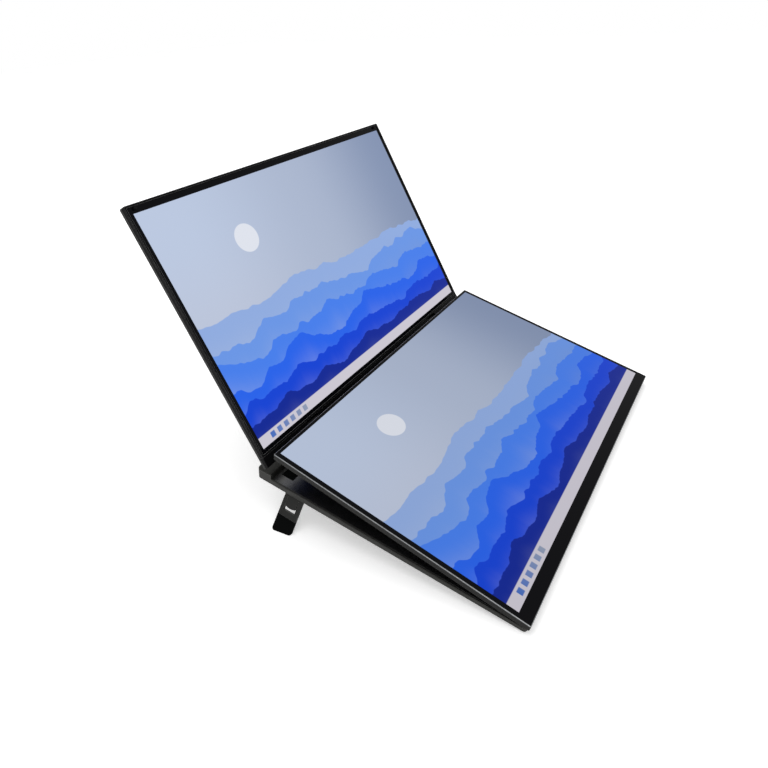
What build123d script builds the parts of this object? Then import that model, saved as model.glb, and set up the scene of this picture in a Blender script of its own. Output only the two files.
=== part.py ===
# Dual-screen portable monitor: a thin base on two splayed rear feet, a lower screen that rises about its
# front hinge on two lift arms, and an upper screen in a lid on the rear hinge.
# Millimetres, +Z up from the table, X across, front at -Y, origin under the middle of the whole object.
from build123d import *
import os
from math import asin, cos, degrees, radians, sin, tan

os.makedirs("parts", exist_ok=True)

# Attitude of the open object, in degrees
BASE_TILT = 8.2
DECK_SLOPE = 0.5
SCREEN_LIFT_ANGLE = 7.0
LID_OPENING = 125.45
FOOT_SPLAY_ANGLE = 35.5
SQUARE_ANGLE = 90

# Display panels, 16 inch at 16:10
ACTIVE_W = 344.6
ACTIVE_H = 215.4
GLASS_T = 0.9
CELL_T = 0.8
CELL_MARGIN = 0.5
GLASS_LEDGE = 0.8
GLASS_SINK = 0.05
FIT_GAP = 0.1
OVERRUN = 2.0

# Lower screen
SCREEN_BEZEL = 4.55
SCREEN_CHIN = 11.2
SCREEN_REAR_BEZEL = 3.4
SCREEN_T = 5.9
SCREEN_CORNER_R = 1.2
SCREEN_FLOOR_T = 1.0
SCREEN_WALL_T = 0.9
SCREEN_RIM_H = 1.3
SCREEN_RIM_CHAMFER = 0.5
SCREEN_EDGE_R = 0.8
HINGE_RIB_H = 3.4
HINGE_RIB_MARGIN = 1.5
SCREEN_BOARD_GAP = 14.0
SCREEN_BOARD_D = 5.0
BOARD_T = 1.0
CHIP_H = 0.8

# Front hinge that the lower screen turns on
SCREEN_AXIS_Y = 4.0
SCREEN_AXIS_Z = 4.6
SCREEN_OVERHANG = 5.3
SCREEN_GAP = 0.5
FRONT_EYE_R = 2.0
FRONT_PIN_R = 1.0
FRONT_HINGE_INSET = 59.0
FRONT_KNUCKLE_W = 10.0
FRONT_EAR_W = 7.0
PIN_GAP = 0.05
SIDE_GAP = 0.3
SWEEP_GAP = 0.4

# Base: shell, deck and the raised bar along the rear
FLOOR_T = 1.2
WALL_T = 1.6
DECK_T = 1.0
BASE_FRONT_R = 3.0
BASE_REAR_R = 3.5
BASE_EDGE_R = 1.2
DECK_RIM_CHAMFER = 0.5
TROUGH_D = 1.5
REAR_GAP = 1.9
BAR_D = 15.4
BAR_TOP_Z = 11.4
BAR_COVER_T = 1.3
BAR_FRONT_T = 1.4
BAR_EDGE_R = 1.2
BAR_LIP_D = 1.8
BAR_LIP_T = 0.6
BAR_LIP_DROP = 0.1
RECESS_INSET = 10.0
RECESS_W = 16.0
RECESS_D = 12.4
RECESS_SETBACK = 1.9
RECESS_DEPTH = 1.2
RECESS_FLOOR_T = 0.4
RECESS_PAD_DROP = 0.3
RECESS_PAD_R = 0.8

# Lid with the upper screen
LID_BEZEL = 5.6
LID_TOP_BEZEL = 7.6
LID_CHIN = 11.5
LID_T = 6.9
LID_FACE = 5.65
LID_CORNER_R = 1.4
LID_FLOOR_T = 1.0
LID_WALL_T = 1.2
LID_RIM_W = 2.0
LID_RIM_PROUD = 0.9
LID_FRAME_H = 4.0
LID_RIM_CHAMFER = 0.5
LID_BACK_R = 0.8
LID_FOOT = -4.0
LID_FRAME_FOOT = 6.1
LID_FOOT_R = 2.0
LID_CLOSED_GAP = 1.2
LID_BOARD_W = 220.0
LID_BOARD_D = 3.2
BUMPER_R = 1.5
BUMPER_INSET = 9.0
BUMPER_SLACK = 0.1

# Rear hinge
BAR_AXIS_SETBACK = 7.9
TOWER_INSET = 65.0
TOWER_W = 16.0
TOWER_STEM_D = 8.0
TOWER_EYE_R = 4.9
TOWER_FLANGE_W = 26.0
TOWER_FLANGE_T = 1.6
LID_PIN_R = 2.4
LID_PIN_REACH = 14.0
PIN_END_GAP = 0.5
KNUCKLE_L = 16.0
KNUCKLE_R = 4.0

# Lift arms under the lower screen
ARM_INSET = 66.0
ARM_PIVOT_SETBACK = 14.2
ARM_PIVOT_Z = 3.9
ARM_LENGTH = 63.0
ARM_W = 10.0
ARM_T = 2.0
ARM_EYE_R = 1.8
ARM_PIN_R = 1.0
ARM_EAR_W = 2.4
ARM_WINDOW_SHARE = 0.5
WINDOW_CORNER_SHARE = 0.25
SHOE_R = 1.7
SHOE_PIN_R = 0.8
SHOE_GAP = 0.35
SLOT_GAP = 1.6

# Folding rear feet
FOOT_INSET = 9.5
FOOT_REAR_SETBACK = 12.8
FOOT_W = 18.8
FOOT_T = 3.2
FOOT_SINK = 0.4
FOOT_PIN_R = 0.8
TIP_START = 26.0
TIP_TENON = 7.0
TIP_TENON_W = 12.0
TIP_TENON_T = 1.6
TIP_CORNER_R = 2.5
LEG_EDGE_R = 0.5
TONGUE_START = 9.5
TONGUE_W = 10.4
TONGUE_SLIT = 0.7
TONGUE_BOW = 1.1
FOOT_SLOT_START = 18.2
FOOT_SLOT_L = 2.8
WELL_WALL_T = 1.5
WELL_ROOF_T = 0.6
WELL_GAP = 0.4
WELL_LIP = 3.2

# Pads under the base
PAD_T = 0.9
PAD_L = 70.0
PAD_W = 7.0
PAD_EDGE_R = 0.6
PAD_FRONT_Y = 4.0
PAD_REAR_SETBACK = 12.0
PAD_INSET = 59.0

# Electronics
BOARD_SIDE_GAP = 23.85
BOARD_D = 66.0
BOARD_BOSS_H = 0.6
BOARD_BOSS_R = 2.2
BOARD_BOSS_INSET = 6.0
BOARD_CHIP = 14.0
BOARD_CHIP_PITCH = 36.0
BOARD_CHIP_COUNT = 3
CHIP_PLACE_SHARE = 0.25
USB_W = 9.0
USB_H = 3.3
USB_L = 7.6
USB_R = 1.6
USB_X = -34.0
USB_PITCH = 20.0
USB_TONGUE_W = 6.7
USB_TONGUE_H = 0.7
USB_MOUTH_L = 5.6
HDMI_W = 11.2
HDMI_H = 3.4
HDMI_L = 8.0
HDMI_X = 16.0
HDMI_CHAMFER = 1.1
PORT_WALL_T = 0.35
SPEAKER_W = 22.0
SPEAKER_D = 44.0
SPEAKER_H = 1.8
SPEAKER_R = 4.0
SPEAKER_INSET = 34.0
SPEAKER_Y_SHARE = 0.49
GRILLE_SLOT_L = 10.0
GRILLE_SLOT_W = 1.2
GRILLE_PITCH = 3.0
GRILLE_COUNT = 9

# Keys on the rear face of the rear bar, towards its right end
KEY_INSET = 31.0
KEY_PITCH = 14.0
KEY_L = 9.0
KEY_H = 3.0
KEY_R = 1.3
KEY_PROUD = 0.6
KEY_GAP = 0.15
KEY_FLANGE = 0.8
KEY_FLANGE_T = 0.6
KEY_FLANGE_GAP = 0.05
KEY_TRAVEL = 0.4
KEY_Z = 5.2
SWITCH_W = 4.0
SWITCH_T = 1.4
SWITCH_SLACK = 0.1
KEY_BOARD_MARGIN = 3.0

# Screws through the shell into the deck's bosses
SCREW_R = 1.0
SCREW_HEAD_R = 2.0
SCREW_HEAD_H = 0.7
SCREW_BOSS_R = 2.3
SCREW_X_SHARES = (0.86, 0.3)
SCREW_FRONT_Y = 18.4
SCREW_BOARD_GAP = 8.4
SCREW_ROW_SHARES = (0, 0.405, 1)

# Sizes that follow from the ones above, on the base's own axes: y from its front edge, z from its underside
SCREEN_W = ACTIVE_W + 2 * SCREEN_BEZEL
SCREEN_D = SCREEN_CHIN + ACTIVE_H + SCREEN_REAR_BEZEL
SCREEN_FRONT = -SCREEN_OVERHANG
SCREEN_REAR = SCREEN_D - SCREEN_OVERHANG
SCREEN_SEAM = SCREEN_T - SCREEN_RIM_H
SCREEN_GLASS_Z = SCREEN_T - GLASS_SINK
SCREEN_ACTIVE_Y = SCREEN_FRONT + SCREEN_CHIN
BASE_W = SCREEN_W
BAR_FRONT_Y = SCREEN_AXIS_Y + SCREEN_REAR + REAR_GAP
BASE_D = BAR_FRONT_Y + BAR_D
DECK_END_Y = BAR_FRONT_Y - TROUGH_D
BAR_WALL_Z = BAR_TOP_Z - BAR_COVER_T
LID_W = ACTIVE_W + 2 * LID_BEZEL
LID_TOP = LID_CHIN + ACTIVE_H + LID_TOP_BEZEL
LID_BACK = LID_FACE - LID_T
LID_GLASS_Z = LID_FACE - LID_RIM_PROUD
LID_SEAM = LID_FACE - LID_FRAME_H
LID_ANGLE = 2 * SQUARE_ANGLE - LID_OPENING
LID_AXIS_Y = BAR_FRONT_Y + BAR_AXIS_SETBACK
CLOSED_STACK = (SCREEN_T + LID_CLOSED_GAP + LID_FACE) / cos(radians(DECK_SLOPE))
LID_AXIS_Z = SCREEN_AXIS_Z + CLOSED_STACK + (LID_AXIS_Y - SCREEN_AXIS_Y) * tan(radians(DECK_SLOPE))
FOOT_SWING_ANGLE = SQUARE_ANGLE + FOOT_SPLAY_ANGLE
FOOT_Y = BAR_FRONT_Y - FOOT_REAR_SETBACK - FOOT_W / 2
FOOT_X = BASE_W / 2 - FOOT_INSET
FOOT_Z = FOOT_T / 2 - FOOT_SINK
ARM_X = BASE_W / 2 - ARM_INSET
ARM_PIVOT_Y = DECK_END_Y - ARM_PIVOT_SETBACK
BOARD_Z = FLOOR_T + BOARD_BOSS_H
PORT_Z = BOARD_Z + BOARD_T
BOARD_YS = (BASE_D - WALL_T - FIT_GAP - BOARD_D, BASE_D - WALL_T - FIT_GAP)
SPEAKER_X = BASE_W / 2 - SPEAKER_INSET
SPEAKER_Y = BASE_D * SPEAKER_Y_SHARE
FRONT_HINGE_X = BASE_W / 2 - FRONT_HINGE_INSET
TOWER_X = BASE_W / 2 - TOWER_INSET
PAD_X = BASE_W / 2 - PAD_INSET
BOARD_W = 2 * (TOWER_X - TOWER_FLANGE_W / 2 - BOARD_SIDE_GAP)
KEY_X = BASE_W / 2 - KEY_INSET
SCREW_REAR_Y = BOARD_YS[0] - SCREW_BOARD_GAP - SCREW_BOSS_R


def deck_z(y):
    """Height of the deck's surface above the base's underside."""
    return SCREEN_AXIS_Z - SCREEN_GAP + (y - SCREEN_AXIS_Y) * tan(radians(DECK_SLOPE))


def on_table(y, z):
    """Turn a point of the base's side view by the tilt at which the base stands on its feet."""
    tilt = radians(BASE_TILT)
    return y * cos(tilt) - z * sin(tilt), y * sin(tilt) + z * cos(tilt)


def turned(y, z, axis_y, axis_z, angle):
    """Side-view place, on the base's axes, of a point of a panel turned about a hinge axis."""
    turn = radians(angle)
    return axis_y + y * cos(turn) - z * sin(turn), axis_z + y * sin(turn) + z * cos(turn)


def arm_angle(screen_angle):
    """Angle of a lift arm above the base when its shoe follows the screen's underside."""
    turn = radians(screen_angle)
    pivot = cos(turn) * (ARM_PIVOT_Z - SCREEN_AXIS_Z) - sin(turn) * (ARM_PIVOT_Y - SCREEN_AXIS_Y)
    return degrees(asin((-pivot - SHOE_R - SHOE_GAP) / ARM_LENGTH)) - screen_angle


# Place of the base: it stands on the front pads' lower edge, and the whole object is centred on the origin
PAD_LOW = on_table(PAD_FRONT_Y + PAD_EDGE_R, PAD_EDGE_R - PAD_T)[1] - PAD_EDGE_R
NOSE_TOP = SCREEN_T - SCREEN_RIM_CHAMFER
SCREEN_NOSE = turned(SCREEN_FRONT, NOSE_TOP, SCREEN_AXIS_Y, SCREEN_AXIS_Z, SCREEN_LIFT_ANGLE)
LID_CREST = turned(LID_TOP, LID_BACK + LID_BACK_R, LID_AXIS_Y, LID_AXIS_Z, LID_ANGLE)
BASE_SHIFT = -(on_table(*SCREEN_NOSE)[0] + on_table(*LID_CREST)[0]) / 2


def foot_length(y):
    """Length of a splayed foot from its pin to the table, on the foot's longer face, at y on the base."""
    drop = FOOT_Z + (on_table(y, 0)[1] - PAD_LOW) / cos(radians(BASE_TILT))
    return drop / cos(radians(FOOT_SPLAY_ANGLE)) + FOOT_T / 2 * tan(radians(FOOT_SPLAY_ANGLE))


BASE_PLACE = Location((0, BASE_SHIFT, -PAD_LOW), (BASE_TILT, 0, 0))
BASE = Plane(BASE_PLACE)
DECK = Plane(BASE_PLACE * Location((0, SCREEN_AXIS_Y, SCREEN_AXIS_Z - SCREEN_GAP), (DECK_SLOPE, 0, 0)))
SCREEN = Plane(BASE_PLACE * Location((0, SCREEN_AXIS_Y, SCREEN_AXIS_Z), (SCREEN_LIFT_ANGLE, 0, 0)))
LID = Plane(BASE_PLACE * Location((0, LID_AXIS_Y, LID_AXIS_Z), (LID_ANGLE, 0, 0)))
FOOT = Plane(BASE_PLACE * Location((-FOOT_X, FOOT_Y, FOOT_Z), (0, FOOT_SWING_ANGLE, 0)))
ARM = Plane(BASE_PLACE * Location((-ARM_X, ARM_PIVOT_Y, ARM_PIVOT_Z), (-arm_angle(SCREEN_LIFT_ANGLE), 0, 0)))
BASE_UP = Axis(BASE.origin, BASE.z_dir)
BASE_BACK = Axis(BASE.origin, BASE.y_dir)
SIDES = (-1, 1)


def side(plane, x):
    """The plane's side view at x: its y runs along the sketch's x, its z along the sketch's y."""
    return Plane(plane.from_local_coords((x, 0, 0)), x_dir=plane.y_dir, z_dir=plane.x_dir)


def rear(y):
    """The base's cross-section at y, drawn in its x and z; an extrusion runs forward from it."""
    return Plane(BASE.from_local_coords((0, y, 0)), x_dir=BASE.x_dir, z_dir=-BASE.y_dir)


def span(middle, width):
    """Limits of a width about its middle."""
    return middle - width / 2, middle + width / 2


def on_side(sign, low, high):
    """Limits on the left or the right of the middle plane."""
    return (low, high) if sign > 0 else (-high, -low)


def block(plane, xs, ys, zs, radius=0, mode=Mode.ADD):
    """A bar between pairs of limits on the plane's axes, with its corners rounded in plan."""
    with BuildSketch(plane.offset(zs[0])) as outline:
        with Locations(((xs[0] + xs[1]) / 2, (ys[0] + ys[1]) / 2)):
            Rectangle(xs[1] - xs[0], ys[1] - ys[0])
        if radius:
            fillet(outline.vertices(), radius)
    extrude(outline.sketch, amount=zs[1] - zs[0], mode=mode)


def rod(plane, y, z, xs, radius, mode=Mode.ADD):
    """A round bar along the plane's x axis."""
    with BuildSketch(side(plane, xs[0])) as section:
        with Locations((y, z)):
            Circle(radius)
    extrude(section.sketch, amount=xs[1] - xs[0], mode=mode)


def posts(plane, places, radius, zs, mode=Mode.ADD):
    """Round posts along the plane's z axis at each place."""
    with BuildSketch(plane.offset(zs[0])) as section:
        with Locations(*places):
            Circle(radius)
    extrude(section.sketch, amount=zs[1] - zs[0], mode=mode)


def eye(plane, y, z, xs, radius, foot_z):
    """A hinge ear that stands on foot_z and rounds over the pin at y, z."""
    block(plane, xs, span(y, 2 * radius), (foot_z, z))
    rod(plane, y, z, xs, radius)


def save(piece, name):
    """Label a finished piece and write it."""
    piece.part.label = name
    export_step(piece.part, f"parts/{name}.step")


def save_twin(piece, name):
    """Write the right-hand twin of a left-hand piece."""
    with BuildPart() as twin:
        mirror(piece.part, about=Plane.YZ)
    save(twin, name)


# Places shared by the pieces that fit together
SCREW_PLACES = [
    (sign * x_share * BASE_W / 2, SCREW_FRONT_Y + row_share * (SCREW_REAR_Y - SCREW_FRONT_Y))
    for sign in SIDES
    for x_share in SCREW_X_SHARES
    for row_share in SCREW_ROW_SHARES
]
SCREW_TOP = deck_z(SCREW_FRONT_Y) - DECK_T
BOARD_BOSSES = [
    (sign * (BOARD_W / 2 - BOARD_BOSS_INSET), y)
    for sign in SIDES
    for y in (BOARD_YS[0] + BOARD_BOSS_INSET, BOARD_YS[1] - BOARD_BOSS_INSET)
]
RECESS_XS = (BASE_W / 2 - RECESS_INSET - RECESS_W, BASE_W / 2 - RECESS_INSET)
RECESS_END = DECK_END_Y - SCREEN_AXIS_Y - RECESS_SETBACK
RECESS_YS = (RECESS_END - RECESS_D, RECESS_END)
FRONT_EAR_OFFSET = (FRONT_KNUCKLE_W + FRONT_EAR_W) / 2 + SIDE_GAP
FRONT_HINGE_W = FRONT_KNUCKLE_W + 2 * FRONT_EAR_W + 2 * SIDE_GAP
ARM_EAR_OFFSET = (ARM_W + ARM_EAR_W) / 2 + SIDE_GAP
ARM_HINGE_W = ARM_W + 2 * ARM_EAR_W + 2 * SIDE_GAP
WELL_W = FOOT_W + 2 * WELL_GAP
WELL_ROOF_Z = FOOT_Z + FOOT_T / 2 + WELL_GAP / 2
FOOT_ENDS = (foot_length(FOOT_Y - FOOT_W / 2), foot_length(FOOT_Y + FOOT_W / 2))
WELL_LIMITS = (FOOT_X - FOOT_ENDS[1] - WELL_GAP, FOOT_X + WELL_LIP)
USB_PLACES = (USB_X, USB_X + USB_PITCH)
KEY_PLACES = (KEY_X, KEY_X + KEY_PITCH)
KEY_BACK_Y = BASE_D - WALL_T - KEY_FLANGE_GAP - KEY_FLANGE_T
SWITCH_FACE_Y = KEY_BACK_Y - KEY_TRAVEL - SWITCH_SLACK

# Base shell: floor and walls in one moulding, higher round the rear bar
with BuildPart() as base_shell:
    with BuildSketch(side(BASE, -BASE_W / 2)):
        with BuildLine():
            Polyline(
                (0, 0), (BASE_D, 0), (BASE_D, BAR_WALL_Z), (BAR_FRONT_Y, BAR_WALL_Z),
                (BAR_FRONT_Y, deck_z(BAR_FRONT_Y)), (0, deck_z(0)), close=True,
            )
        make_face()
    extrude(amount=BASE_W)
    fillet(base_shell.edges().filter_by(BASE_UP).sort_by(BASE_BACK)[-2:], BASE_REAR_R)
    fillet(base_shell.edges().filter_by(BASE_UP).sort_by(BASE_BACK)[:2], BASE_FRONT_R)
    fillet(base_shell.faces().sort_by(BASE_UP)[0].edges(), BASE_EDGE_R)
    deck_rim = base_shell.faces().filter_by(Axis(DECK.origin, DECK.z_dir)).edges().sort_by(BASE_BACK)
    chamfer(deck_rim[:-1], DECK_RIM_CHAMFER)
    block(
        BASE, span(0, BASE_W - 2 * WALL_T), (WALL_T, BASE_D - WALL_T), (FLOOR_T, BAR_TOP_Z),
        BASE_FRONT_R - WALL_T, Mode.SUBTRACT,
    )
    for sign in SIDES:
        block(
            BASE, on_side(sign, WELL_LIMITS[0] - WELL_WALL_T, WELL_LIMITS[1] + WELL_WALL_T),
            span(FOOT_Y, WELL_W + 2 * WELL_WALL_T), (0, WELL_ROOF_Z + WELL_ROOF_T),
        )
        well_xs = on_side(sign, *WELL_LIMITS)
        block(BASE, well_xs, span(FOOT_Y, WELL_W), (-OVERRUN, WELL_ROOF_Z), 0, Mode.SUBTRACT)
        with BuildSketch(rear(FOOT_Y + WELL_W / 2 + WELL_WALL_T)):
            with Locations((sign * FOOT_X, FOOT_Z)):
                Circle(FOOT_PIN_R)
        extrude(amount=WELL_W + 2 * WELL_WALL_T, mode=Mode.SUBTRACT)
        for ear in SIDES:
            ear_xs = span(sign * FRONT_HINGE_X + ear * FRONT_EAR_OFFSET, FRONT_EAR_W)
            eye(BASE, SCREEN_AXIS_Y, SCREEN_AXIS_Z, ear_xs, FRONT_EYE_R, FLOOR_T)
            rod(BASE, SCREEN_AXIS_Y, SCREEN_AXIS_Z, ear_xs, FRONT_PIN_R, Mode.SUBTRACT)
            ear_xs = span(sign * ARM_X + ear * ARM_EAR_OFFSET, ARM_EAR_W)
            eye(BASE, ARM_PIVOT_Y, ARM_PIVOT_Z, ear_xs, ARM_EYE_R, FLOOR_T)
            rod(BASE, ARM_PIVOT_Y, ARM_PIVOT_Z, ear_xs, ARM_PIN_R, Mode.SUBTRACT)
        with BuildSketch(BASE):
            with Locations((sign * SPEAKER_X, SPEAKER_Y)):
                with GridLocations(GRILLE_SLOT_L, GRILLE_PITCH, 1, GRILLE_COUNT):
                    SlotOverall(GRILLE_SLOT_L, GRILLE_SLOT_W)
        extrude(amount=FLOOR_T, mode=Mode.SUBTRACT)
    with BuildSketch(rear(BASE_D)):
        with Locations(*[(x, PORT_Z + USB_H / 2) for x in USB_PLACES]):
            RectangleRounded(USB_W + 2 * FIT_GAP, USB_H + 2 * FIT_GAP, USB_R)
        with Locations((HDMI_X, PORT_Z + HDMI_H / 2)):
            Rectangle(HDMI_W + 2 * FIT_GAP, HDMI_H + 2 * FIT_GAP)
        with Locations(*[(x, KEY_Z) for x in KEY_PLACES]):
            RectangleRounded(KEY_L + 2 * KEY_GAP, KEY_H + 2 * KEY_GAP, KEY_R + KEY_GAP)
    extrude(amount=WALL_T, mode=Mode.SUBTRACT)
    posts(BASE, BOARD_BOSSES, BOARD_BOSS_R, (FLOOR_T, BOARD_Z))
    posts(BASE, SCREW_PLACES, SCREW_R + FIT_GAP, (0, FLOOR_T), Mode.SUBTRACT)
    posts(BASE, SCREW_PLACES, SCREW_HEAD_R + FIT_GAP, (0, SCREW_HEAD_H), Mode.SUBTRACT)
save(base_shell, "base_shell")

# Deck: the plate under the lower screen, with the arms' slots, hinge notches and a shallow recess each side
with BuildPart() as base_deck:
    deck_front = WALL_T + FIT_GAP - SCREEN_AXIS_Y
    deck_end = DECK_END_Y - SCREEN_AXIS_Y
    deck_width = BASE_W - 2 * (WALL_T + FIT_GAP)
    deck_corner = BASE_FRONT_R - WALL_T - FIT_GAP
    block(DECK, span(0, deck_width), (deck_front, deck_end), (-DECK_T, 0), deck_corner)
    for x, y in SCREW_PLACES:
        posts(BASE, [(x, y)], SCREW_BOSS_R, (FLOOR_T, deck_z(y) - DECK_T / 2))
    posts(BASE, SCREW_PLACES, SCREW_R, (FLOOR_T, SCREW_TOP), Mode.SUBTRACT)
    slot_ys = span(ARM_PIVOT_Y - SCREEN_AXIS_Y - ARM_LENGTH / 2, ARM_LENGTH + 2 * (ARM_EYE_R + SLOT_GAP))
    notch_end = FRONT_EYE_R + SWEEP_GAP
    for sign in SIDES:
        pan_xs = on_side(sign, RECESS_XS[0] - RECESS_FLOOR_T, RECESS_XS[1] + RECESS_FLOOR_T)
        pan_ys = (RECESS_YS[0] - RECESS_FLOOR_T, RECESS_YS[1] + RECESS_FLOOR_T)
        block(DECK, pan_xs, pan_ys, (-RECESS_DEPTH - RECESS_FLOOR_T, -DECK_T))
        block(DECK, on_side(sign, *RECESS_XS), RECESS_YS, (-RECESS_DEPTH, OVERRUN), 0, Mode.SUBTRACT)
        slot_xs = span(sign * ARM_X, ARM_HINGE_W + 2 * SIDE_GAP)
        block(DECK, slot_xs, slot_ys, (-DECK_T - OVERRUN, OVERRUN), 0, Mode.SUBTRACT)
        notch_xs = span(sign * FRONT_HINGE_X, FRONT_HINGE_W + 2 * SIDE_GAP)
        block(DECK, notch_xs, (deck_front, notch_end), (-DECK_T - OVERRUN, OVERRUN), 0, Mode.SUBTRACT)
save(base_deck, "base_deck")

# Pads in the deck's recesses
with BuildPart() as deck_pads:
    for sign in SIDES:
        inlay_xs = on_side(sign, RECESS_XS[0] + FIT_GAP, RECESS_XS[1] - FIT_GAP)
        inlay_ys = (RECESS_YS[0] + FIT_GAP, RECESS_YS[1] - FIT_GAP)
        block(DECK, inlay_xs, inlay_ys, (-RECESS_DEPTH, -RECESS_PAD_DROP), RECESS_PAD_R)
save(deck_pads, "deck_pads")

# Rear bar cover: the top and front of the raised bar, with a lip that runs under the deck's rear edge
with BuildPart() as rear_bar_cover:
    lip_top = deck_z(DECK_END_Y) - DECK_T - BAR_LIP_DROP
    block(BASE, span(0, BASE_W), (BAR_FRONT_Y, BASE_D), (BAR_WALL_Z, BAR_TOP_Z))
    fillet(rear_bar_cover.edges().filter_by(BASE_UP).sort_by(BASE_BACK)[-2:], BASE_REAR_R)
    fillet(rear_bar_cover.faces().sort_by(BASE_UP)[-1].edges(), BAR_EDGE_R)
    inner_xs = span(0, BASE_W - 2 * (WALL_T + FIT_GAP))
    block(BASE, inner_xs, (BAR_FRONT_Y, BAR_FRONT_Y + BAR_FRONT_T), (lip_top - BAR_LIP_T, BAR_WALL_Z))
    block(BASE, inner_xs, (BAR_FRONT_Y - BAR_LIP_D, BAR_FRONT_Y), (lip_top - BAR_LIP_T, lip_top))
    for sign in SIDES:
        block(
            BASE, span(sign * TOWER_X, TOWER_W + 2 * FIT_GAP), span(LID_AXIS_Y, TOWER_STEM_D + 2 * FIT_GAP),
            (BAR_WALL_Z, BAR_TOP_Z), 0, Mode.SUBTRACT,
        )
save(rear_bar_cover, "rear_bar_cover")

# Hinge towers: each stands on the shell's floor inside the bar and holds a hinge pin above it
for sign, hand in zip(SIDES, ("left", "right")):
    with BuildPart() as hinge_tower:
        tower_xs = span(sign * TOWER_X, TOWER_W)
        block(BASE, tower_xs, span(LID_AXIS_Y, TOWER_STEM_D), (FLOOR_T, LID_AXIS_Z))
        rod(BASE, LID_AXIS_Y, LID_AXIS_Z, tower_xs, TOWER_EYE_R)
        flange_ys = (BAR_FRONT_Y + BAR_FRONT_T + FIT_GAP, BASE_D - WALL_T - FIT_GAP)
        flange_xs = span(sign * TOWER_X, TOWER_FLANGE_W)
        block(BASE, flange_xs, flange_ys, (FLOOR_T, FLOOR_T + TOWER_FLANGE_T))
        rod(BASE, LID_AXIS_Y, LID_AXIS_Z, tower_xs, LID_PIN_R, Mode.SUBTRACT)
    save(hinge_tower, f"hinge_tower_{hand}")
    with BuildPart() as lid_hinge_pin:
        rod(BASE, LID_AXIS_Y, LID_AXIS_Z, span(sign * TOWER_X, TOWER_W + 2 * LID_PIN_REACH), LID_PIN_R)
    save(lid_hinge_pin, f"lid_hinge_pin_{hand}")

# Pins of the front hinge, the lift arms and the feet
with BuildPart() as front_hinge_pins:
    for sign in SIDES:
        rod(BASE, SCREEN_AXIS_Y, SCREEN_AXIS_Z, span(sign * FRONT_HINGE_X, FRONT_HINGE_W), FRONT_PIN_R)
save(front_hinge_pins, "front_hinge_pins")

with BuildPart() as arm_pivot_pins:
    for sign in SIDES:
        rod(BASE, ARM_PIVOT_Y, ARM_PIVOT_Z, span(sign * ARM_X, ARM_HINGE_W), ARM_PIN_R)
save(arm_pivot_pins, "arm_pivot_pins")

with BuildPart() as foot_pins:
    with BuildSketch(rear(FOOT_Y + WELL_W / 2 + WELL_WALL_T)):
        with Locations(*[(sign * FOOT_X, FOOT_Z) for sign in SIDES]):
            Circle(FOOT_PIN_R)
    extrude(amount=WELL_W + 2 * WELL_WALL_T)
save(foot_pins, "foot_pins")

# Pads that the base stands on
PAD_ROWS = {"front_pads": PAD_FRONT_Y, "rear_pads": BASE_D - PAD_REAR_SETBACK - PAD_W}
for name, pad_y in PAD_ROWS.items():
    with BuildPart() as pads:
        for sign in SIDES:
            block(BASE, span(sign * PAD_X, PAD_L), (pad_y, pad_y + PAD_W), (-PAD_T, 0))
        fillet(pads.faces().filter_by(BASE_UP).sort_by(BASE_UP)[:2].edges(), PAD_EDGE_R)
    save(pads, name)

# Electronics on the shell's floor
with BuildPart() as main_board:
    block(BASE, span(0, BOARD_W), BOARD_YS, (BOARD_Z, PORT_Z))
    with BuildSketch(BASE.offset(PORT_Z)):
        with Locations((0, BOARD_YS[0] + BOARD_CHIP)):
            with GridLocations(BOARD_CHIP_PITCH, BOARD_CHIP, BOARD_CHIP_COUNT, 1):
                Rectangle(BOARD_CHIP, BOARD_CHIP)
    extrude(amount=CHIP_H)
save(main_board, "main_board")

with BuildPart() as usb_c_ports:
    port_middle = PORT_Z + USB_H / 2
    with BuildSketch(rear(BASE_D)):
        with Locations(*[(x, port_middle) for x in USB_PLACES]):
            RectangleRounded(USB_W, USB_H, USB_R - FIT_GAP)
    extrude(amount=USB_L)
    with BuildSketch(rear(BASE_D)):
        with Locations(*[(x, port_middle) for x in USB_PLACES]):
            mouth_r = USB_R - FIT_GAP - PORT_WALL_T
            RectangleRounded(USB_W - 2 * PORT_WALL_T, USB_H - 2 * PORT_WALL_T, mouth_r)
            Rectangle(USB_TONGUE_W, USB_TONGUE_H, mode=Mode.SUBTRACT)
    extrude(amount=USB_MOUTH_L, mode=Mode.SUBTRACT)
save(usb_c_ports, "usb_c_ports")

with BuildPart() as mini_hdmi_port:
    port_middle = PORT_Z + HDMI_H / 2
    with BuildSketch(rear(BASE_D)) as shell_outline:
        with Locations((HDMI_X, port_middle)):
            Rectangle(HDMI_W, HDMI_H)
        chamfer(shell_outline.vertices().group_by(Axis.Y)[0], HDMI_CHAMFER)
    extrude(amount=HDMI_L)
    with BuildSketch(rear(BASE_D)) as mouth_outline:
        with Locations((HDMI_X, port_middle)):
            Rectangle(HDMI_W - 2 * PORT_WALL_T, HDMI_H - 2 * PORT_WALL_T)
        chamfer(mouth_outline.vertices().group_by(Axis.Y)[0], HDMI_CHAMFER)
        with Locations((HDMI_X, port_middle)):
            Rectangle(USB_TONGUE_W, USB_TONGUE_H, mode=Mode.SUBTRACT)
    extrude(amount=USB_MOUTH_L, mode=Mode.SUBTRACT)
save(mini_hdmi_port, "mini_hdmi_port")

for sign, hand in zip(SIDES, ("left", "right")):
    with BuildPart() as speaker:
        speaker_xs = span(sign * SPEAKER_X, SPEAKER_W)
        block(BASE, speaker_xs, span(SPEAKER_Y, SPEAKER_D), (FLOOR_T, FLOOR_T + SPEAKER_H), SPEAKER_R)
    save(speaker, f"speaker_{hand}")

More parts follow.
